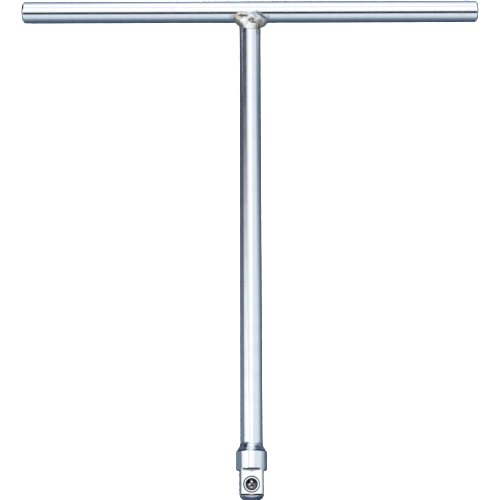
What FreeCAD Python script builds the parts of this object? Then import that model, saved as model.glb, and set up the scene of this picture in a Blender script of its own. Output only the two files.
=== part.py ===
import FreeCAD, Part
import math
import os

# Fixed T-handle wrench with a half-inch square drive and a ball detent. Sizes are in millimetres.
# X runs along the handle bar, Y from the drive tip (-) to the bar (+), and Z is up with the tool lying flat.
# The collar rests on Z = 0, so the bar and the shank share one axis plane at Z = AXIS_Z.

# Driving dimensions
BAR_D, BAR_LEN = 12.0, 250.0
BAR_END_AXIAL, BAR_END_RADIAL, BAR_END_ROUND = 1.1, 1.5, 0.35
SHANK_D = 11.75
REACH = 250.0               # bar axis to the shoulder, where the collar ends
COLLAR_D, COLLAR_LEN, COLLAR_EDGE = 16.25, 9.15, 0.3
NECK_LEN, NECK_FILLET, NECK_ANGLE = 4.9, 5.0, 34.5
RELIEF_FILLET, RELIEF_ANGLE = 0.95, 77.0    # from the collar down to the square
SQUARE, DRIVE_LEN = 12.7, 15.5
LEAD_IN, LEAD_ANGLE, LEAD_ROUND = 2.9, 24.0, 2.3
TIP_FACE_R, TIP_CONE_AXIAL = 3.8, 3.05

BALL_D = 6.35
BALL_FROM_TIP = 8.0
HOLE_R, HOLE_DEPTH = 3.25, 10.0
LIP_R, LIP_BELOW_FACE, LIP_TAPER = 2.9, 0.25, 0.55
STAKE_R, STAKE_WIDTH, STAKE_DEPTH = 3.95, 0.56, 0.34
SEAT_GAP = 0.015            # between the ball and the lip it rests under
SPRING_D, WIRE_D, SPRING_TURNS = 5.2, 0.7, 5.0
SPRING_TOP_GAP = 0.05

WELD_SPLIT_X = 0.7          # where the two runs meet on the upper side
WELD_STEP, WELD_FIRST = 24.0, 8.0
WELD_LEG, WELD_CROWN, WELD_UNDER = 2.9, 2.1, 0.65    # WELD_UNDER: how full the crown is on the underside

AXIS_Z = COLLAR_D / 2
HALF = SQUARE / 2
BAR_Y = (REACH + DRIVE_LEN + BAR_D / 2) / 2 - BAR_D / 2
SHOULDER_Y = BAR_Y - REACH
TIP_Y = SHOULDER_Y - DRIVE_LEN
BALL_Y = TIP_Y + BALL_FROM_TIP

V = FreeCAD.Vector
AXIS_POINT = V(0, 0, AXIS_Z)


def revolve_about_y(steps):
    """A solid turned about the shank's axis. A step is a (radius, y) corner, or an arc's middle and end."""
    edges, here = [], V(steps[0][0], steps[0][1], AXIS_Z)
    for step in steps[1:] + steps[:1]:
        there = V(step[-2], step[-1], AXIS_Z)
        if len(step) == 4:
            edges.append(Part.Arc(here, V(step[0], step[1], AXIS_Z), there).toShape())
        else:
            edges.append(Part.makeLine(here, there))
        here = there
    return Part.Face(Part.Wire(edges)).revolve(AXIS_POINT, V(0, 1, 0), 360)


def revolve_about_hole(points):
    """A solid turned about the detent hole's axis, from (radius, height above the shank's axis) corners."""
    corners = [V(r, BALL_Y, AXIS_Z + z) for r, z in points]
    face = Part.Face(Part.makePolygon(corners + corners[:1]))
    return face.revolve(V(0, BALL_Y, AXIS_Z), V(0, 0, 1), 360)


def bar_cylinder(radius, length):
    return Part.makeCylinder(radius, length, V(-length / 2, BAR_Y, AXIS_Z), V(1, 0, 0))


def edges_of_circle(shape, radius, y=None, x=None):
    """The full-circle edges of one radius in one plane."""
    found = []
    for edge in shape.Edges:
        if not isinstance(edge.Curve, Part.Circle) or abs(edge.Curve.Radius - radius) > 1e-6:
            continue
        centre = edge.Curve.Center
        if (y is None or abs(centre.y - y) < 1e-6) and (x is None or abs(centre.x - x) < 1e-6):
            found.append(edge)
    return found


def handle_bar():
    radius, face_r = BAR_D / 2, BAR_D / 2 - BAR_END_RADIAL
    end = BAR_LEN / 2
    corners = [(-end, 0), (-end, face_r), (BAR_END_AXIAL - end, radius),
               (end - BAR_END_AXIAL, radius), (end, face_r), (end, 0)]
    corners = [V(x, BAR_Y, AXIS_Z + r) for x, r in corners]
    face = Part.Face(Part.makePolygon(corners + corners[:1]))
    bar = face.revolve(V(0, BAR_Y, AXIS_Z), V(1, 0, 0), 360)
    rims = edges_of_circle(bar, radius) + edges_of_circle(bar, face_r)
    return bar.makeFillet(BAR_END_ROUND, rims)


def concave(start_r, start_y, radius, angle, way):
    """The end and the middle, as (radius, y), of a fillet that climbs from a cylinder to an angle."""
    points = []
    for turn in (math.radians(angle), math.radians(angle / 2)):
        points.append((start_r + radius * (1 - math.cos(turn)), start_y + way * radius * math.sin(turn)))
    return points


def drive_end():
    """The square, with corners on the collar's turned diameter, planar lead-ins and a turned end."""
    top_y = SHOULDER_Y + 2.0
    angle = math.radians(LEAD_ANGLE)
    drop, tangent = LEAD_IN * math.tan(angle), LEAD_ROUND * math.tan(angle / 2)
    start = (HALF, TIP_Y + LEAD_IN + tangent)
    middle = (HALF - LEAD_ROUND * (1 - math.cos(angle / 2)), start[1] - LEAD_ROUND * math.sin(angle / 2))
    end = (HALF - tangent * math.sin(angle), TIP_Y + LEAD_IN - tangent * math.cos(angle))

    def outline(place):
        """The side view, with a rounded start to each lead-in, drawn in the plane that place chooses."""
        edges = []
        for sign in (-1, 1):
            corners = (start, middle, end, (HALF - drop, TIP_Y), (HALF, top_y))
            points = [place(sign * a, y) for a, y in corners]
            edges += [Part.Arc(*points[:3]).toShape(), Part.makeLine(points[2], points[3]),
                      Part.makeLine(points[0], points[4])]
        edges += [Part.makeLine(place(drop - HALF, TIP_Y), place(HALF - drop, TIP_Y)),
                  Part.makeLine(place(-HALF, top_y), place(HALF, top_y))]
        return Part.Face(Part.Wire(Part.__sortEdges__(edges)))

    prism = outline(lambda a, y: V(a, y, AXIS_Z - 20)).extrude(V(0, 0, 40))
    prism = prism.common(outline(lambda a, y: V(-20, y, AXIS_Z + a)).extrude(V(40, 0, 0)))
    turned = revolve_about_y([(0, top_y), (COLLAR_D / 2, top_y), (COLLAR_D / 2, TIP_Y + TIP_CONE_AXIAL),
                              (TIP_FACE_R, TIP_Y), (0, TIP_Y)])
    return prism.common(turned)


def shank():
    collar_r = COLLAR_D / 2
    collar_top = SHOULDER_Y + COLLAR_LEN
    neck_end = collar_top + NECK_LEN
    neck, neck_middle = concave(SHANK_D / 2, neck_end, NECK_FILLET, NECK_ANGLE, -1)
    climb = RELIEF_FILLET * (1 - math.cos(math.radians(RELIEF_ANGLE)))
    run = RELIEF_FILLET * math.sin(math.radians(RELIEF_ANGLE))
    relief_y = SHOULDER_Y - run - (collar_r - HALF - climb) / math.tan(math.radians(RELIEF_ANGLE))
    relief, relief_middle = concave(HALF, relief_y, RELIEF_FILLET, RELIEF_ANGLE, 1)
    body = revolve_about_y([(0, relief_y), (HALF, relief_y), (*relief_middle, *relief),
                            (collar_r, SHOULDER_Y), (collar_r, collar_top), neck,
                            (*neck_middle, SHANK_D / 2, neck_end), (SHANK_D / 2, BAR_Y), (0, BAR_Y)])
    rims = edges_of_circle(body, collar_r, y=SHOULDER_Y) + edges_of_circle(body, collar_r, y=collar_top)
    body = body.makeFillet(COLLAR_EDGE, rims)
    body = body.fuse(drive_end()).removeSplitter()
    body = body.cut(bar_cylinder(BAR_D / 2, BAR_LEN))

    lip = HALF - LIP_BELOW_FACE
    hole = revolve_about_hole([(0, HALF - HOLE_DEPTH), (HOLE_R, HALF - HOLE_DEPTH),
                               (HOLE_R, lip - LIP_TAPER), (LIP_R, lip), (LIP_R + 0.2, HALF),
                               (LIP_R + 0.2, HALF + 1), (0, HALF + 1)])
    groove = revolve_about_hole([(STAKE_R, HALF - STAKE_DEPTH), (STAKE_R + STAKE_WIDTH / 2, HALF),
                                 (STAKE_R + STAKE_WIDTH / 2, HALF + 1),
                                 (STAKE_R - STAKE_WIDTH / 2, HALF + 1), (STAKE_R - STAKE_WIDTH / 2, HALF)])
    return body.cut(hole).cut(groove)


def ball_centre():
    """Where the spring holds the ball, just under the lip of the staked hole."""
    reach = BALL_D / 2 + SEAT_GAP
    return V(0, BALL_Y, AXIS_Z + HALF - LIP_BELOW_FACE - math.sqrt(reach ** 2 - LIP_R ** 2))


def detent_ball():
    return Part.makeSphere(BALL_D / 2, ball_centre())


def detent_spring():
    """A coil between the hole's floor and the underside of the ball."""
    coil_r, wire_r = (SPRING_D - WIRE_D) / 2, WIRE_D / 2
    floor = AXIS_Z + HALF - HOLE_DEPTH + wire_r
    reach = BALL_D / 2 + wire_r + SPRING_TOP_GAP
    top = ball_centre().z - math.sqrt(reach ** 2 - coil_r ** 2)
    rise = top - floor
    helix = Part.makeHelix(rise / SPRING_TURNS, rise, coil_r)
    wire = Part.Wire(Part.makeCircle(wire_r, V(coil_r, 0, 0), V(0, 1, 0)))
    coil = Part.Wire(helix).makePipeShell([wire], True, True)
    coil.translate(V(0, BALL_Y, floor))
    return coil


def weld_runs():
    """Two half runs of bead around the joint, each a row of overlapping puddles, cut to the bar and shank."""
    sides = []
    for sign in (-1, 1):
        puddles = []
        turn = WELD_FIRST
        while turn < 180:
            crown = math.cos(math.radians(turn)) ** 2
            fill = 1.0 if turn < 90 else WELD_UNDER
            size = WELD_LEG + WELD_CROWN * crown * fill + (0.3 if sign > 0 else 0.0)
            out = 6.1 - 3.95 * crown
            centre = V(sign * out * math.sin(math.radians(turn)), BAR_Y - 6.1 - 0.65 * crown,
                       AXIS_Z + out * math.cos(math.radians(turn)))
            puddles.append(Part.makeSphere(size, centre))
            turn += WELD_STEP
        bead = puddles[0].fuse(puddles[1:])
        start = WELD_SPLIT_X if sign > 0 else WELD_SPLIT_X - 30
        keep = Part.makeBox(30, 40, 40, V(start, BAR_Y - 38, AXIS_Z - 20))
        bead = bead.common(keep)
        bead = bead.cut(bar_cylinder(BAR_D / 2, BAR_LEN))
        stem = Part.makeCylinder(SHANK_D / 2, 40, V(0, BAR_Y - 38, AXIS_Z), V(0, 1, 0))
        sides.append(bead.cut(stem))
    return sides


os.makedirs("parts", exist_ok=True)
weld_left, weld_right = weld_runs()
pieces = {
    "handle_bar": handle_bar(),
    "shank_with_square_drive": shank(),
    "weld_run_left": weld_left,
    "weld_run_right": weld_right,
    "detent_ball": detent_ball(),
    "detent_spring": detent_spring(),
}
for node, shape in pieces.items():
    solid = shape.Solids[0] if len(shape.Solids) == 1 else shape
    solid.exportStep("parts/" + node + ".step")
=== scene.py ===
import math

import bpy
import bmesh
import numpy as np
from mathutils import Matrix, Vector


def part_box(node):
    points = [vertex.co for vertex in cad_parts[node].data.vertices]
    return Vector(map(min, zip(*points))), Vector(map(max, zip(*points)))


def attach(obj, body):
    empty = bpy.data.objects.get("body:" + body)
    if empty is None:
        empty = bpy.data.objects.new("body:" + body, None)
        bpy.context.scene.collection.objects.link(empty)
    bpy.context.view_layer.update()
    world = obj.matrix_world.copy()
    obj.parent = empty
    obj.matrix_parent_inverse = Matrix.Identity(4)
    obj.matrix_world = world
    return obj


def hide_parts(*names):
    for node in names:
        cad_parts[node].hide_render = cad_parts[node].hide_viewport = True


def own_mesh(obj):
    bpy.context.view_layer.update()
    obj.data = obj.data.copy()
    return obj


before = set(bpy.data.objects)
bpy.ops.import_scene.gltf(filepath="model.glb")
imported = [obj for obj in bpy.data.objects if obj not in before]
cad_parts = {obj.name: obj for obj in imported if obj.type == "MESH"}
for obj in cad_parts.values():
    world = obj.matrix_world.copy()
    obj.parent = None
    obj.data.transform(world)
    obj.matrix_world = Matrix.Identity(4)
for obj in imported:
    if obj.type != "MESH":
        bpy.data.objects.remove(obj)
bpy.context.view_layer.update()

# The frame: X along the bar, Y along the shank from the drive's tip to the bar, Z up.
MM = 0.001
BAR_MM, SHANK_MM = 6.0, 5.875               # radii of the bar and the shank, in millimetres
DRIVE_LEN, BALL_FROM_TIP = 15.5 * MM, 8.0 * MM

AXIS_Z = 8.125 * MM                         # the height of the bar's and the shank's axes
BAR_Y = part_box("handle_bar")[1][1] - BAR_MM * MM
TIP_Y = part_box("shank_with_square_drive")[0][1]
SHOULDER_Y = TIP_Y + DRIVE_LEN
BALL_Y = TIP_Y + BALL_FROM_TIP
SPRING_FLOOR = AXIS_Z - 3.65 * MM

# The weld's marks are placed by u, along the bar, and by q, down the side that faces up and to the drive:
# q = DOWN_V * v - DOWN_W * w, with v from the bar's axis towards the drive and w above the axes.
DOWN_V, DOWN_W = 0.918, 0.397

# the black of painted shade in and round the ball's hole
SHADE_BLACK = (0.012, 0.012, 0.014)
WHOLE_TURN = 2 * math.pi


class Tree:
    """A short way to write shader nodes: every call adds a node and returns its output."""

    def __init__(self, owner):
        owner.use_nodes = True
        self.tree = owner.node_tree
        self.tree.nodes.clear()

    def node(self, kind, **settings):
        node = self.tree.nodes.new(kind)
        for name, value in settings.items():
            setattr(node, name, value)
        return node

    def link(self, value, socket):
        if isinstance(value, bpy.types.NodeSocket):
            self.tree.links.new(value, socket)
        else:
            socket.default_value = value

    def math(self, operation, *values):
        node = self.node("ShaderNodeMath", operation=operation)
        for value, socket in zip(values, node.inputs):
            self.link(value, socket)
        return node.outputs[0]

    def product(self, first, *others):
        for other in others:
            first = self.math("MULTIPLY", first, other)
        return first

    def step(self, value, low, high, start=0.0, end=1.0):
        """Smoothly from start to end as value goes from low to high."""
        node = self.node("ShaderNodeMapRange", interpolation_type="SMOOTHSTEP")
        if low > high:
            low, high, start, end = high, low, end, start
        for given, socket in zip((value, low, high, start, end), node.inputs):
            self.link(given, socket)
        return node.outputs[0]

    def mix(self, share, first, second):
        node = self.node("ShaderNodeMix", data_type="RGBA", clamp_factor=True, clamp_result=False)
        self.link(share, node.inputs["Factor"])
        for value, socket in ((first, node.inputs[6]), (second, node.inputs[7])):
            self.link((*value, 1) if isinstance(value, tuple) else value, socket)
        return node.outputs[2]

    def ramp(self, value, stops):
        node = self.node("ShaderNodeValToRGB")
        ramp = node.color_ramp
        while len(ramp.elements) < len(stops):
            ramp.elements.new(0.5)
        for element, (place, colour) in zip(ramp.elements, stops):
            element.position = place
            element.color = (*colour, 1)
        self.link(value, node.inputs[0])
        return node.outputs[0]

    def scaled(self, vector, factors):
        node = self.node("ShaderNodeVectorMath", operation="MULTIPLY")
        self.link(vector, node.inputs[0])
        node.inputs[1].default_value = factors
        return node.outputs[0]

    def length(self, vector, centre, factors):
        """How far vector lies from centre, after each axis is multiplied by its factor."""
        moved = self.node("ShaderNodeVectorMath", operation="SUBTRACT")
        self.link(vector, moved.inputs[0])
        moved.inputs[1].default_value = centre
        measured = self.node("ShaderNodeVectorMath", operation="LENGTH")
        self.link(self.scaled(moved.outputs[0], factors), measured.inputs[0])
        return measured.outputs["Value"]

    def near(self, vector, centre, radii, soft=0.6):
        """1 well inside an ellipsoid, falling smoothly to 0 at its surface."""
        return self.step(self.length(vector, centre, tuple(1 / r for r in radii)), 1.0, 1.0 - soft)

    def noise(self, vector, scale, detail=2.0, roughness=0.5):
        node = self.node("ShaderNodeTexNoise")
        self.link(vector, node.inputs["Vector"])
        node.inputs["Scale"].default_value = scale
        node.inputs["Detail"].default_value = detail
        node.inputs["Roughness"].default_value = roughness
        return node.outputs[0]

    def bump(self, height, distance, normal=None):
        node = self.node("ShaderNodeBump")
        node.inputs["Strength"].default_value = 1.0
        node.inputs["Distance"].default_value = distance
        self.link(height, node.inputs["Height"])
        if normal is not None:
            self.link(normal, node.inputs["Normal"])
        return node.outputs[0]


# ---------------------------------------------------------------- studio

def studio_world():
    """A soft studio, seen only in the metal: white overhead, greyer at the sides, dark low down and far back.

    Everything but a mirror image is lit by plain white.
    """
    world = bpy.data.worlds.new("studio")
    bpy.context.scene.world = world
    world.cycles.sampling_method = "NONE"
    mirror_gain, plain_gain = 1.1, 5.5
    t = Tree(world)
    direction = t.node("ShaderNodeTexCoord").outputs["Generated"]
    split = t.node("ShaderNodeSeparateXYZ")
    t.link(direction, split.inputs[0])
    x, y, z = split.outputs
    side = t.math("DEGREES", t.math("ARCTAN2", x, z))
    along = t.math("DEGREES", t.math("ARCTAN2", y, z))

    height = t.math("MULTIPLY_ADD", z, 0.5, 0.5)
    base = t.ramp(height, [
        (0.0, (0.045, 0.060, 0.115)), (0.115, (0.070, 0.095, 0.155)), (0.25, (0.100, 0.150, 0.210)),
        (0.375, (0.165, 0.225, 0.290)), (0.5, (0.40, 0.49, 0.55)), (0.6, (0.58, 0.66, 0.735)),
        (0.7, (0.68, 0.745, 0.80)), (0.8, (0.73, 0.79, 0.85)), (0.925, (0.71, 0.77, 0.83)),
        (1.0, (0.80, 0.85, 0.90))])
    wide = t.math("ABSOLUTE", x)

    # the right side falls off sooner towards the back
    dim = t.product(t.step(x, 0.66, 0.98), t.step(y, 0.16, 0.36), t.step(z, 0.75, 0.15))
    base = t.mix(t.math("MULTIPLY", dim, 0.78), base, (0.060, 0.085, 0.130))

    # the key light: a long white box overhead and behind, narrower towards its far end, with a faint seam
    reach = t.step(along, 35, 80)
    key = t.product(t.step(t.math("ADD", wide, t.math("MULTIPLY", reach, 0.16)), 0.42, 0.17),
                    t.step(along, -17, -12), t.step(along, 112, 72))
    seam = t.product(t.step(along, 22, 31), t.step(along, 44, 34))
    key_colour = t.mix(seam, t.mix(reach, (1.02, 1.02, 1.02), (0.88, 0.92, 0.97)), (0.80, 0.85, 0.92))

    # far behind, dark on both sides of the box
    far = t.math("MAXIMUM", t.step(x, 0.16, 0.46), t.step(x, -0.34, -0.54))
    back = t.product(t.step(along, 52, 72), far, t.step(y, 0.55, 0.72))
    base = t.mix(back, base, (0.075, 0.105, 0.170))
    rear = t.product(t.step(y, 0.85, 0.97), t.step(z, 0.22, -0.12), 0.85)
    sky = t.mix(rear, t.mix(key, base, key_colour), (0.20, 0.27, 0.39))
    streak = t.product(t.step(y, 0.42, 0.50), t.step(y, 0.66, 0.56),
                       t.step(x, 0.42, 0.52), t.step(x, 0.86, 0.74))
    sky = t.mix(streak, sky, (0.10, 0.15, 0.20))

    # the left wall: a white panel beside the wrench, dark further back and lower down
    left = t.step(x, -0.15, -0.42)
    panel = t.product(left, t.step(side, -30, -44), t.step(y, 0.30, 0.16), t.step(z, 0.05, 0.25))
    sky = t.mix(panel, sky, (0.93, 0.94, 0.98))
    shade = t.mix(t.step(y, 0.10, 0.34), (0.165, 0.225, 0.290), (0.080, 0.082, 0.115))
    low_left = t.product(left, t.step(side, -70, -79))
    back_left = t.product(t.step(side, -25, -44), t.step(x, -0.1, -0.3),
                          t.step(y, 0.19, 0.36), t.step(y, 0.62, 0.48))
    sky = t.mix(t.math("MAXIMUM", low_left, back_left), sky, shade)
    sky = t.mix(t.product(left, t.step(y, 0.42, 0.60), t.step(x, -0.42, -0.58)), sky, (0.085, 0.115, 0.180))
    sky = t.mix(t.near(direction, (-0.64, 0.70, 0.16), (0.29, 0.29, 0.29), 0.55), sky, (0.022, 0.014, 0.020))

    # the dark gap in front of the key light
    gap = t.product(t.step(along, -46, -39.5), t.step(along, -17, -22), t.step(wide, 0.75, 0.5))
    sky = t.mix(gap, sky, (0.026, 0.029, 0.056))

    # small hot lamps, which only the ball, the weld and the rounded edges pick up
    for way, size in (((0.0, 0.81, 0.59), 7.0), ((-0.60, 0.02, 0.80), 8.0)):
        facing = t.node("ShaderNodeVectorMath", operation="DOT_PRODUCT")
        t.link(direction, facing.inputs[0])
        facing.inputs[1].default_value = Vector(way).normalized()
        rim, core = math.cos(math.radians(size)), math.cos(math.radians(size * 0.6))
        lamp = t.step(facing.outputs["Value"], rim, core)
        sky = t.mix(lamp, sky, (3.2, 3.2, 3.1))

    mirrored = t.node("ShaderNodeBackground")
    t.link(sky, mirrored.inputs["Color"])
    mirrored.inputs["Strength"].default_value = mirror_gain
    plain = t.node("ShaderNodeBackground")
    plain.inputs["Color"].default_value = (1.0, 1.0, 1.0, 1)
    plain.inputs["Strength"].default_value = plain_gain
    path = t.node("ShaderNodeLightPath")
    choice = t.node("ShaderNodeMixShader")
    t.link(path.outputs["Is Glossy Ray"], choice.inputs[0])
    t.link(plain.outputs[0], choice.inputs[1])
    t.link(mirrored.outputs[0], choice.inputs[2])
    output = t.node("ShaderNodeOutputWorld")
    t.link(choice.outputs[0], output.inputs[0])


def floor():
    """A plain pale floor that touches the collar and the bar, the two things that the wrench lies on."""
    material = bpy.data.materials.new("floor_matt_white")
    t = Tree(material)
    shader = t.node("ShaderNodeBsdfPrincipled")
    shader.inputs["Roughness"].default_value = 0.9
    shader.inputs["Specular IOR Level"].default_value = 0.0
    place = t.node("ShaderNodeTexCoord").outputs["Object"]
    tone = t.mix(t.noise(place, 3.0), (0.885, 0.885, 0.885), (0.895, 0.895, 0.895))
    t.link(tone, shader.inputs["Base Color"])
    output = t.node("ShaderNodeOutputMaterial")
    t.link(shader.outputs[0], output.inputs[0])
    collar_y, collar_low = -0.1163, -0.00002
    slope = (AXIS_Z - BAR_MM * MM - collar_low) / (BAR_Y - collar_y)
    radius, corners = 4.0, 96
    mesh = bpy.data.meshes.new("floor")
    turns = np.linspace(0, WHOLE_TURN, corners + 1)[:-1]
    rim = [(radius * math.cos(a), radius * math.sin(a)) for a in turns]
    points = [(x, y, collar_low + slope * (y - collar_y)) for x, y in rim]
    mesh.from_pydata(points, [], [list(range(corners))])
    mesh.materials.append(material)
    plane = bpy.data.objects.new("floor", mesh)
    bpy.context.collection.objects.link(plane)
    plane.visible_glossy = False


def camera():
    """The photograph's view: from above, a little beyond the drive, looking back towards the bar."""
    tilt, roll = math.radians(14.21), math.radians(-0.1935)
    height, aim_y, aside = 746.9, -5.0, -0.42       # in millimetres, the height from the axes
    data = bpy.data.cameras.new("camera")
    data.sensor_width = 36.0
    data.lens = 105.3936
    data.clip_start, data.clip_end = 0.01, 50
    forward = Vector((0, math.sin(tilt), -math.cos(tilt)))
    right0 = Vector((1, 0, 0))
    up0 = right0.cross(forward)
    right = math.cos(roll) * right0 + math.sin(roll) * up0
    up = math.cos(roll) * up0 - math.sin(roll) * right0
    place = Vector((aside * MM, (aim_y - height * math.tan(tilt)) * MM, height * MM + AXIS_Z))
    turn = Matrix((right, up, -forward)).transposed().to_4x4()
    view = bpy.data.objects.new("camera", data)
    bpy.context.collection.objects.link(view)
    view.matrix_world = Matrix.Translation(place) @ turn
    bpy.context.scene.camera = view


# ---------------------------------------------------------------- materials

def spot(u, v, w):
    """A point near the joint: along the bar, from the bar's axis towards the drive, and above the axis."""
    return (u * MM, BAR_Y - v * MM, AXIS_Z + w * MM)


def metal(name, colour, rough, waves, lines, line_axis, pits=0.0, marks=(), extra=None, grain=0.6):
    """Steel with slow waves and fine lines in its surface, uneven gloss, small pits, and stains where given.

    A mark is (centre, half widths in millimetres, tone, strength), and extra adds a piece's own tints, dirt,
    dark marks, painted shade and painted highlights.
    """
    material = bpy.data.materials.new(name)
    t = Tree(material)
    shader = t.node("ShaderNodeBsdfPrincipled")
    shader.inputs["Metallic"].default_value = 1.0
    place = t.node("ShaderNodeTexCoord").outputs["Object"]
    slow = t.noise(place, 90.0, 1.0)
    ripple = t.noise(place, 520.0, 2.0)
    stretch = [1.0, 1.0, 1.0]
    stretch["xyz".index(line_axis)] = 0.02
    fine = t.noise(t.scaled(place, tuple(stretch)), 9000.0, 3.0, 0.6)
    normal = t.bump(slow, waves[0])
    normal = t.bump(ripple, waves[1], normal)
    normal = t.bump(fine, lines, normal)
    t.link(normal, shader.inputs["Normal"])
    cloud = t.noise(place, 160.0, 3.0, grain)
    t.link(t.step(cloud, 0.3, 0.7, rough[0], rough[1]), shader.inputs["Roughness"])
    shown = t.mix(t.step(cloud, 0.35, 0.7), colour, tuple(c * 0.965 for c in colour))
    if pits:
        dots = t.node("ShaderNodeTexVoronoi", feature="F1")
        t.link(place, dots.inputs["Vector"])
        dots.inputs["Scale"].default_value = 420.0
        dots.inputs["Randomness"].default_value = 1.0
        dot = t.step(dots.outputs["Distance"], 0.10, 0.04)
        rare = t.step(t.noise(place, 260.0), 0.56, 0.66)
        shown = t.mix(t.product(dot, rare, pits), shown, (0.30, 0.30, 0.33))
    ragged = t.step(t.noise(place, 1300.0, 3.0, 0.65), 0.36, 0.58)
    for centre, radii, tone, strength in marks:
        shape = t.near(place, centre, tuple(r * MM for r in radii), 0.75)
        shown = t.mix(t.product(shape, t.math("MULTIPLY_ADD", ragged, 0.75, 0.25), strength), shown, tone)
    if extra:
        shown = extra(t, place, shown)
    t.link(shown, shader.inputs["Base Color"])
    output = t.node("ShaderNodeOutputMaterial")
    t.link(shader.outputs[0], output.inputs[0])
    return material


def bar_end_dark_chamfers(t, place, shown):
    """Dark colour painted along the chamfers at the bar's two ends, on the far side."""
    split = t.node("ShaderNodeSeparateXYZ")
    t.link(place, split.inputs[0])
    x, y, z = split.outputs
    upper = t.step(z, AXIS_Z - 2 * MM, AXIS_Z)
    chamfer = t.step(t.math("ABSOLUTE", x), 123.3 * MM, 123.8 * MM)
    left = t.product(t.step(x, 0, -MM), t.step(y, BAR_Y - 1.2 * MM, BAR_Y + 0.4 * MM))
    both = t.step(y, BAR_Y + 2.6 * MM, BAR_Y + 4.4 * MM)
    uneven = t.step(t.noise(place, 700.0), 0.3, 0.5, 0.7, 1.0)
    return t.mix(t.product(chamfer, upper, t.math("MAXIMUM", left, both), uneven), shown, (0.07, 0.045, 0.06))


def drive_painted_shade(t, place, shown):
    """Painted shade: black in the ball's hole, dark in the staking ring's groove, and dark lines and bands
    along the edges and over the tip.
    """
    split = t.node("ShaderNodeSeparateXYZ")
    t.link(place, split.inputs[0])
    x, y, z = split.outputs
    wide = t.math("ABSOLUTE", x)
    upper = t.step(z, AXIS_Z + 4 * MM, AXIS_Z + 4.5 * MM)
    down = t.math("SUBTRACT", SHOULDER_Y, y)
    off_hole = t.length(place, (0, BALL_Y, 0), (1, 1, 0))
    off_axis = t.length(place, (0, 0, AXIS_Z), (1, 0, 1))

    def line(at, half):
        """A line across the upper side, at a distance down from the shoulder."""
        gap = t.math("ABSOLUTE", t.math("SUBTRACT", down, at * MM))
        return t.product(t.step(gap, half * MM, half * 0.5 * MM), upper)

    # painted shade in the staking ring's groove, weaker towards the right
    ring = t.step(t.math("ABSOLUTE", t.math("SUBTRACT", off_hole, 3.95 * MM)), 0.36 * MM, 0.20 * MM)
    ring = t.product(ring, upper, t.step(x, 4.4 * MM, 1.6 * MM, 0.45, 1.0))
    shown = t.mix(ring, shown, (0.035, 0.036, 0.030))

    # painted shade on the square's corners, the stretch under the collar's rim, the rim itself and the
    # collar's other end
    drive = t.step(down, 0.05 * MM, 0.35 * MM)
    shown = t.mix(t.product(drive, t.step(wide, 5.4 * MM, 5.9 * MM)), shown, (0.52, 0.56, 0.60))
    under_rim = t.product(drive, upper, t.step(down, 1.25 * MM, 0.15 * MM), t.step(wide, 5.0 * MM, 4.4 * MM))
    shown = t.mix(t.math("MULTIPLY", under_rim, 0.8), shown, (0.36, 0.38, 0.42))
    rim = t.product(line(-0.30, 0.5), t.step(wide, 4.8 * MM, 3.9 * MM))
    shown = t.mix(rim, shown, (0.075, 0.085, 0.10))
    off_middle = t.math("ABSOLUTE", t.math("ADD", x, 0.7 * MM))
    neck_end = t.product(line(-9.5, 0.5), t.step(off_middle, 0.3 * MM, 2.2 * MM), 0.8)
    shown = t.mix(neck_end, shown, (0.10, 0.13, 0.18))

    # painted shade over the tip, and a painted dark line where its slopes start
    from_tip = t.math("SUBTRACT", y, TIP_Y)
    tip = t.step(t.math("MULTIPLY_ADD", from_tip, -2.8, off_axis), 0.8 * MM, 1.3 * MM)
    shown = t.mix(tip, shown, (0.34, 0.35, 0.46))
    edge = t.product(line(12.53, 0.42), t.step(wide, 0.5 * MM, 1.6 * MM, 0.5, 1.0),
                     t.step(wide, 5.7 * MM, 5.2 * MM))
    shown = t.mix(edge, shown, (0.025, 0.025, 0.030))
    # painted shade: black in the ball's hole, round the ball
    return t.mix(t.product(t.step(off_hole, 3.17 * MM, 3.05 * MM), upper), shown, SHADE_BLACK)


# painted highlights (the light tones) and painted shade (the black tones) on the ball, from its centre in
# millimetres: (x, y), half widths, tone
BALL_PAINTED_PATCHES = [
    ((-1.35, 1.15), (1.00, 0.95), SHADE_BLACK), ((1.50, 1.20), (0.70, 0.60), (0.03, 0.03, 0.03)),
    ((-0.05, 1.05), (0.62, 0.55), (0.90, 0.90, 0.90)), ((-1.00, -0.35), (0.60, 0.50), (0.85, 0.85, 0.85)),
    ((-0.05, -1.55), (0.62, 0.50), (0.90, 0.90, 0.90)), ((-0.05, -0.62), (0.75, 0.42), SHADE_BLACK)]


def ball_painted_light(t, place, shown):
    """Painted shade on the ball, darker towards the collar and black below the flat and in patches over its
    top, with three painted highlights.
    """
    split = t.node("ShaderNodeSeparateXYZ")
    t.link(place, split.inputs[0])
    y, z = split.outputs[1:]
    # painted shade, darker towards the collar
    shown = t.mix(t.step(y, BALL_Y - 1.6 * MM, BALL_Y + 1.2 * MM), shown, (0.10, 0.105, 0.11))
    upper = t.step(z, AXIS_Z, AXIS_Z + 6.5 * MM)
    for (dx, dy), halves, tone in BALL_PAINTED_PATCHES:
        centre = (dx * MM, BALL_Y + dy * MM, AXIS_Z)
        factors = (1 / (halves[0] * MM), 1 / (halves[1] * MM), 0)
        patch = t.step(t.length(place, centre, factors), 1.0, 0.45)
        shown = t.mix(t.product(patch, upper), shown, tone)
    # painted shade, black, on the ball below the flat
    return t.mix(t.step(z, AXIS_Z + 6.75 * MM, AXIS_Z + 6.3 * MM), shown, SHADE_BLACK)
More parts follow.
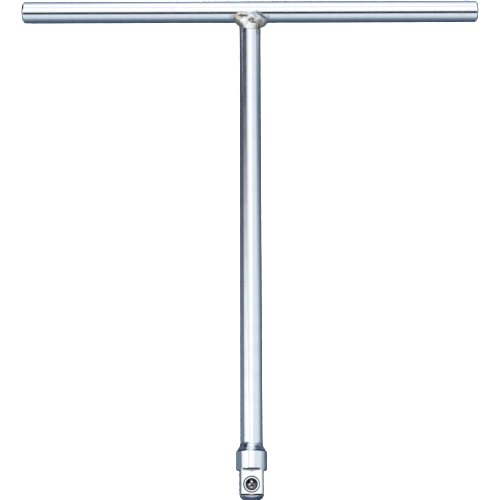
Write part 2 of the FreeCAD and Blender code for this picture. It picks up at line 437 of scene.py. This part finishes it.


# tones on the bead's upper side: heat tints and dirt (the browns and olives), painted highlights (the
# near-white ones), painted reflections (the grey-blue ones) and painted shade (the grey-black crevice, crater
# lines and right-hand outline); in millimetres: (u, q), half widths, turn in degrees, tone, strength
WELD_TINTS_AND_LIGHT = [
    ((-7.3, 4.6), (2.7, 3.8), 0, (0.50, 0.46, 0.36), 0.95),
    ((-7.0, 2.8), (1.8, 0.9), 0, (0.80, 0.72, 0.60), 0.8),
    ((-3.4, 3.9), (3.4, 2.4), 10, (0.97, 0.94, 0.88), 1.0),
    ((-4.1, 1.9), (3.2, 0.78), 4, (0.085, 0.075, 0.075), 1.0),
    ((-5.3, 7.7), (2.6, 2.8), 30, (0.38, 0.33, 0.26), 0.9),
    ((0.5, 7.6), (2.9, 3.4), 0, (1.0, 1.0, 0.99), 1.0),
    ((3.0, 8.6), (1.6, 2.3), 0, (0.56, 0.56, 0.46), 0.9),
    ((7.4, 4.2), (2.5, 3.0), 0, (0.42, 0.46, 0.47), 0.9),
    ((5.0, 6.8), (2.6, 4.8), 0, (0.30, 0.265, 0.19), 1.0),
    ((4.4, 2.7), (2.0, 1.5), 0, (0.72, 0.75, 0.78), 0.95),
    ((5.0, 7.3), (0.9, 1.2), 0, (0.11, 0.06, 0.045), 1.0),
    ((4.8, 9.0), (0.8, 1.7), 0, (0.10, 0.08, 0.05), 0.9),
    ((0.8, 1.2), (2.8, 1.7), 0, (0.98, 0.98, 1.0), 1.0),
    ((4.7, 0.7), (2.7, 1.0), 25, (0.22, 0.27, 0.33), 1.0),
    ((6.7, 2.2), (3.4, 0.6), 33, (0.09, 0.09, 0.10), 1.0),
    ((-0.3, 3.85), (0.75, 0.6), -35, (0.13, 0.11, 0.11), 1.0),
    ((0.9, 3.25), (1.1, 0.5), -10, (0.18, 0.16, 0.15), 0.9),
    ((1.7, 3.9), (0.9, 0.6), 20, (0.12, 0.11, 0.10), 1.0),
    ((0.2, 4.45), (1.0, 0.5), 0, (0.25, 0.25, 0.23), 0.9),
    ((2.0, 5.35), (1.6, 0.62), 5, (0.05, 0.05, 0.05), 1.0),
    ((1.5, 4.6), (1.0, 0.45), 0, (0.50, 0.50, 0.47), 0.8)]


def weld_tints_and_painted_light(t, place, shown):
    """Heat tints and dirt on the bead, with painted highlights, reflections and shade on its upper side, and
    a ragged line of painted shade where it meets the bar and the shank.
    """
    split = t.node("ShaderNodeSeparateXYZ")
    t.link(place, split.inputs[0])
    x, y, z = split.outputs
    q = t.math("ADD", t.math("MULTIPLY_ADD", y, -DOWN_V, DOWN_V * BAR_Y),
               t.math("MULTIPLY_ADD", z, -DOWN_W, DOWN_W * AXIS_Z))
    flat = t.node("ShaderNodeCombineXYZ")
    jitter = t.math("MULTIPLY_ADD", t.noise(place, 900.0, 3.0, 0.6), 1.1 * MM, -0.55 * MM)
    t.link(t.math("ADD", x, jitter), flat.inputs[0])
    t.link(t.math("ADD", q, jitter), flat.inputs[1])
    upper = t.step(z, AXIS_Z - 2 * MM, AXIS_Z)
    streaks = t.step(t.noise(t.scaled(place, (1.0, 0.3, 0.3)), 2200.0, 3.0, 0.6), 0.35, 0.62, 0.62, 1.0)
    # heat tints and dirt, and painted highlights, reflections and shade
    for (u, down), halves, turn, tone, strength in WELD_TINTS_AND_LIGHT:
        turned = t.node("ShaderNodeVectorRotate", rotation_type="Z_AXIS")
        t.link(flat.outputs[0], turned.inputs["Vector"])
        centre = (u * MM, down * MM, 0)
        turned.inputs["Center"].default_value = centre
        turned.inputs["Angle"].default_value = -math.radians(turn)
        factors = (1 / (halves[0] * MM), 1 / (halves[1] * MM), 0)
        shape = t.step(t.length(turned.outputs[0], centre, factors), 1.0, 0.5)
        shown = t.mix(t.product(shape, upper, streaks, strength), shown, tone)
    # painted shade: a dark ragged line along both toes
    off_bar = t.length(place, (0, BAR_Y, AXIS_Z), (0, 1, 1))
    off_shank = t.length(place, (0, 0, AXIS_Z), (1, 0, 1))
    bar_toe = t.step(off_bar, 6.30 * MM, 6.02 * MM)
    shank_toe = t.product(t.step(off_shank, 6.15 * MM, 5.93 * MM), t.step(x, 0.0, -4.0 * MM, 0.1, 0.6))
    toe = t.math("MAXIMUM", bar_toe, shank_toe)
    broken = t.step(t.noise(place, 700.0, 2.0), 0.36, 0.56, 0.2, 0.8)
    return t.mix(t.product(toe, broken), shown, (0.17, 0.15, 0.13))


def add_mesh(name, points, faces):
    """A smooth mesh object from points in millimetres."""
    mesh = bpy.data.meshes.new(name)
    mesh.from_pydata([tuple(p) for p in np.asarray(points) * MM], [], faces)
    mesh.update()
    mesh.polygons.foreach_set("use_smooth", [True] * len(mesh.polygons))
    made = bpy.data.objects.new(name, mesh)
    bpy.context.collection.objects.link(made)
    return made


def tube_faces(rings, sides):
    """The faces of a closed tube whose points are given ring by ring."""
    faces = [tuple(range(sides))[::-1], tuple((rings - 1) * sides + k for k in range(sides))]
    for c in range(rings - 1):
        for k in range(sides):
            n = (k + 1) % sides
            faces.append((c * sides + k, c * sides + n, (c + 1) * sides + n, (c + 1) * sides + k))
    return faces


# ---------------------------------------------------------------- the weld

# Weld positions are in millimetres as (u, v, w): u along the bar, v from the bar's axis towards the drive,
# and w up from the axis plane. Angles run round the shank's axis, 0 on top and 90 on the right.

ROWS, COLUMNS_PER_DEGREE = 64, 1.9
TAPER = 9.0                             # the length of a run's tapered ends, in degrees
TOE_SUNK, CORNER_SUNK = 0.03, 0.12      # how deep the toes and the hidden corner lie in the steel

# how far out the bead reaches on the bar, how far along the shank, and how far it bulges between
BAR_TOE = [
    (-180, 5.78), (-150, 6.6), (-125, 7.6), (-105, 8.1), (-90, 8.3), (-75, 9.3), (-65, 9.8), (-55, 9.2),
    (-45, 7.8), (-25, 6.25), (0, 5.88), (25, 6.3), (40, 7.4), (55, 8.7), (65, 9.55), (75, 9.7),
    (90, 9.4), (108, 8.8), (130, 7.7), (155, 6.4)]
SHANK_TOE = [
    (-180, 7.9), (-140, 7.7), (-110, 8.0), (-90, 8.7), (-70, 9.7), (-45, 11.1), (-20, 11.9), (0, 12.3),
    (20, 12.3), (45, 12.0), (62, 11.1), (75, 10.0), (90, 9.1), (110, 8.2), (140, 7.7)]
BULGE = [
    (-180, 0.5), (-140, 0.35), (-110, 0.05), (-90, 0.0), (-70, 0.15), (-45, 0.65), (-20, 0.7), (0, 0.65),
    (25, 0.65), (50, 0.8), (70, 0.95), (90, 0.85), (110, 0.55), (140, 0.4)]

# lumps and pits on the upper side: height, (u, q), half widths, turn in degrees
LUMPS = [
    (0.30, (-3.6, 3.6), (2.6, 1.0), -8), (0.38, (0.6, 1.1), (1.7, 0.9), 0), (0.30, (5.6, 3.4), (1.5, 2.2), 0),
    (0.22, (-0.3, 5.6), (2.4, 1.0), 0), (-0.30, (4.9, 6.3), (0.5, 0.5), 0),
    (-0.25, (5.2, 5.0), (0.5, 0.35), 0)]

# grooves on the upper side: depth, (u, q) of both ends, half width
GROOVES = [
    (0.62, (-5.6, 1.35), (-1.7, 1.85), 0.34), (0.35, (-7.2, 1.2), (-6.1, 4.2), 0.30),
    (0.60, (-0.9, 4.5), (0.75, 3.15), 0.25), (0.55, (0.75, 3.15), (2.2, 4.0), 0.25),
    (0.42, (0.3, 5.2), (2.7, 5.0), 0.22), (0.22, (3.2, 1.4), (3.9, 5.5), 0.40)]


def ring(knots, degrees):
    """A smooth closed curve through (angle, value) knots."""
    x = np.array([k[0] for k in knots], float)
    y = np.array([k[1] for k in knots], float)
    x = np.concatenate([x[-2:] - 360, x, x[:2] + 360])
    y = np.concatenate([y[-2:], y, y[:2]])
    slope = np.gradient(y, x)
    at = (np.asarray(degrees) + 180) % 360 - 180
    i = np.clip(np.searchsorted(x, at, side="right") - 1, 0, len(x) - 2)
    span = x[i + 1] - x[i]
    f = (at - x[i]) / span
    return ((2 * f ** 3 - 3 * f ** 2 + 1) * y[i] + (f ** 3 - 2 * f ** 2 + f) * span * slope[i]
            + (3 * f ** 2 - 2 * f ** 3) * y[i + 1] + (f ** 3 - f ** 2) * span * slope[i + 1])


def ease(value, low, high):
    share = np.clip((value - low) / (high - low), 0, 1)
    return share * share * (3 - 2 * share)


def wobble(points, size, seed):
    """Smooth seeded noise, about -1 to 1, with features of the given size."""
    rng = np.random.default_rng(seed)
    total = np.zeros(points.shape[:-1])
    for _ in range(9):
        way = rng.normal(size=3)
        way *= rng.uniform(0.6, 1.5) * WHOLE_TURN / size / np.linalg.norm(way)
        total += np.sin(points @ way + rng.uniform(0, WHOLE_TURN))
    return total / 4.2


def mound(u, q, centre, sizes, turn=0.0):
    """A soft hill at (u, q), with its two half widths."""
    c, s = math.cos(math.radians(turn)), math.sin(math.radians(turn))
    du, dq = u - centre[0], q - centre[1]
    return np.exp(-((c * du + s * dq) / sizes[0]) ** 2 - ((c * dq - s * du) / sizes[1]) ** 2)


def groove(u, q, start, end, width):
    """A soft groove along a line."""
    along = np.array(end) - np.array(start)
    share = np.clip(((u - start[0]) * along[0] + (q - start[1]) * along[1]) / (along @ along), 0, 1)
    gap = np.hypot(u - start[0] - share * along[0], q - start[1] - share * along[1])
    return np.exp(-(gap / width) ** 2)


def bead_outline(degrees, seed):
    """The shank's toe, the bar's toe, the corner hidden behind them, and the way out of the joint."""
    phi = np.radians(degrees)
    sine, cosine = np.sin(phi), np.cos(phi)
    edge = 0.10 * np.sin(degrees / 5.3 + seed) + 0.07 * np.sin(degrees / 2.1 + 2 * seed)
    bar_r = ring(BAR_TOE, degrees) + edge * 0.7
    bar_w = np.clip(bar_r * cosine, -5.93, 5.93)
    toe_bar = np.stack([bar_r * sine, np.sqrt((BAR_MM - TOE_SUNK) ** 2 - bar_w ** 2), bar_w], -1)
    shank_r = SHANK_MM - TOE_SUNK
    toe_shank = np.stack([shank_r * sine, ring(SHANK_TOE, degrees) + edge, shank_r * cosine], -1)

    # near the top the upper toe lies on the shank, which stands above the bar there
    crest = 2.35 - 1.3 * (toe_bar[:, 0] / 3.4) ** 2
    over = (toe_bar[:, 1] < crest) & (bar_w > 0)
    toe_bar[over, 1] = crest[over]
    toe_bar[over, 2] = np.sqrt(shank_r ** 2 - toe_bar[over, 0] ** 2)

    corner_r = SHANK_MM - CORNER_SUNK
    corner_w = corner_r * cosine
    corner_v = np.sqrt((BAR_MM - CORNER_SUNK) ** 2 - corner_w ** 2)
    corner = np.stack([corner_r * sine, corner_v, corner_w], -1)
    out = toe_bar / BAR_MM * (0, 1, 1) + np.stack([sine, 0 * phi, cosine], -1)
    out /= np.linalg.norm(out, axis=-1, keepdims=True)
    return toe_shank, toe_bar, corner, out


def bead_relief(points, degrees, across, seed):
    """The height of the bead's lumps, marks and ripples; the marks are on its upper side only."""
    u, v, w = points[..., 0], points[..., 1], points[..., 2]
    q = DOWN_V * v - DOWN_W * w
    top = ease(w, 0.0, 2.0)
    relief = sum(height * mound(u, q, centre, sizes, turn) for height, centre, sizes, turn in LUMPS)
    relief -= sum(depth * groove(u, q, start, end, width) for depth, start, end, width in GROOVES)
    relief *= top
    step = degrees[:, None] * 0.108 - 1.1 * across ** 2 + 0.30 * wobble(points, 5.0, seed)
    ripple = np.abs(np.sin(step * math.pi)) ** 0.55
    relief += 0.085 * (ripple - 0.6) * (1 - 0.8 * top)
    relief += 0.08 * wobble(points, 3.4, seed + 1) + 0.03 * wobble(points, 1.2, seed + 2)
    relief += 0.010 * wobble(points, 0.5, seed + 3)
    return relief


def closed_bead(name, loops):
    """A closed solid through a row of cross-sections, with sharp edges along both toes."""
    columns, wide = loops.shape[:2]
    flat = loops.reshape(-1, 3)
    flat = np.stack([flat[:, 0], BAR_Y / MM - flat[:, 1], AXIS_Z / MM + flat[:, 2]], -1)
    bead = add_mesh(name, flat, tube_faces(columns, wide))
    shape = bmesh.new()
    shape.from_mesh(bead.data)
    bmesh.ops.recalc_face_normals(shape, faces=shape.faces)
    toes = {0, ROWS - 1}
    sharpest = 1.2                      # the largest angle in radians that is still shaded smooth
    for e in shape.edges:
        places = {vert.index % wide for vert in e.verts}
        if len(places) == 1 and places <= toes or e.calc_face_angle(0) > sharpest:
            e.smooth = False
    shape.to_mesh(bead.data)
    shape.free()
    return bead


def weld_run(name, first, last, lift, seed):
    """One run of bead, from the angle first to the angle last, with both of its ends tapered off."""
    degrees = np.linspace(first, last, int(abs(last - first) * COLUMNS_PER_DEGREE))
    toe_shank, toe_bar, corner, out = bead_outline(degrees, seed)

    # rows from the shank's toe to the bar's toe, closer together at both toes
    t = 0.55 * (1 - np.cos(np.linspace(0, math.pi, ROWS))) / 2 + 0.45 * np.linspace(0, 1, ROWS)
    t = t[None, :, None]
    chord = toe_shank[:, None] * (1 - t) + toe_bar[:, None] * t
    full = (1 - np.abs(2 * t - 1) ** 2.5) ** 0.72
    taper = (ease(degrees, first, first + TAPER) * ease(-degrees, -last, -last + TAPER))[:, None, None]
    bulge = ring(BULGE, degrees)[:, None, None] + lift
    points = chord + out[:, None] * bulge * full * taper

    relief = bead_relief(points, degrees, 2 * t[..., 0] - 1, seed)
    calm = (ease(t, 0, 0.07) * ease(-t, -1, -0.93))[..., 0] * taper[..., 0]
    points = points + out[:, None] * (relief * calm)[..., None]
    return closed_bead(name, np.concatenate([points, corner[:, None]], axis=1))


# ---------------------------------------------------------------- the detent spring

def coil_spring():
    """A compression spring with closed, ground ends, between the hole's floor and the ball."""
    coil, wire, sides, turns, rings_per_turn = 2.25, 0.35, 14, 5.6, 40
    floor_mm = SPRING_FLOOR / MM
    low, high = floor_mm + 0.24, floor_mm + 5.64
    turn = np.linspace(0, turns, int(turns * rings_per_turn) + 1)
    pitch = 0.62 + (ease(turn, 0.4, 1.3) * ease(-turn, -turns + 0.4, -turns + 1.3)) * 1.0
    rise = np.concatenate([[0], np.cumsum((pitch[1:] + pitch[:-1]) / 2 * np.diff(turn))])
    z = low + rise / rise[-1] * (high - low)
    points = []
    for a, height in zip(turn * WHOLE_TURN, z):
        out = np.array([math.cos(a), math.sin(a), 0])
        for k in range(sides):
            b = WHOLE_TURN * k / sides
            p = out * (coil + wire * math.cos(b)) + (0, 0, height + wire * math.sin(b))
            points.append((p[0], p[1] + BALL_Y / MM, max(p[2], floor_mm + 0.005)))
    return add_mesh("spring_coil", points, tube_faces(len(turn), sides))


# ---------------------------------------------------------------- the scene

BAR_STAINS = [
    (spot(-9.5, 4.6, 4.2), (2.6, 2.2, 2.4), (0.45, 0.40, 0.33), 0.7),
    (spot(9.6, 4.8, 3.8), (2.0, 2.2, 2.4), (0.34, 0.34, 0.36), 0.7)]
SHANK_STAINS = [
    (spot(-3.6, 12.4, 4.4), (2.6, 2.2, 2.6), (0.36, 0.30, 0.26), 0.8),
    (spot(4.2, 13.2, 4.0), (1.9, 3.0, 2.4), (0.42, 0.37, 0.25), 0.85),
    (spot(-2.8, 16.5, 5.1), (1.3, 2.8, 1.2), (0.50, 0.46, 0.42), 0.6)]


def plated(name, line_axis, marks, extra):
    """Bright plate over ground or turned steel, with fine lines along line_axis."""
    colour = (0.90, 0.91, 0.93)
    return metal(name, colour, (0.10, 0.16), (4e-5, 6e-6), 2.2e-6, line_axis, 0.5, marks, extra)


def dress(node, material):
    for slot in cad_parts[node].material_slots:
        slot.material = material


def add_welds():
    """Both runs of bead, in place of the CAD's plainer ones."""
    weld_metal = metal("plated_weld", (0.80, 0.78, 0.73), (0.30, 0.42), (1.2e-5, 8e-6), 1e-6, "y", 0.4,
                       extra=weld_tints_and_painted_light, grain=0.75)
    for name, node, first, last, lift, seed in (("weld_bead_left", "weld_run_left", -188, 12, 0.0, 3),
                                                ("weld_bead_right", "weld_run_right", 1, 184, 0.10, 8)):
        dress(node, weld_metal)
        bead = weld_run(name, first, last, lift, seed)
        bead.data.materials.append(weld_metal)
        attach(bead, "wrench")
        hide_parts(node)


def add_spring():
    """The coil spring, between the hole's floor and the ball, in place of the CAD's one."""
    spring_metal = metal("spring_wire", (0.4, 0.4, 0.42), (0.3, 0.4), (0, 0), 5e-7, "y")
    dress("detent_spring", spring_metal)
    spring = coil_spring()
    spring.data.materials.append(spring_metal)
    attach(spring, "wrench")
    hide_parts("detent_spring")
    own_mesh(spring)


studio_world()
floor()
camera()
dress("handle_bar", plated("plated_bar", "x", BAR_STAINS, bar_end_dark_chamfers))
dress("shank_with_square_drive", plated("plated_shank", "y", SHANK_STAINS, drive_painted_shade))
ball_metal = metal("steel_ball", (0.22, 0.22, 0.225), (0.05, 0.09), (0, 0), 4e-7, "y", extra=ball_painted_light)
dress("detent_ball", ball_metal)
add_welds()
add_spring()

bpy.context.scene.view_settings.view_transform = "Standard"
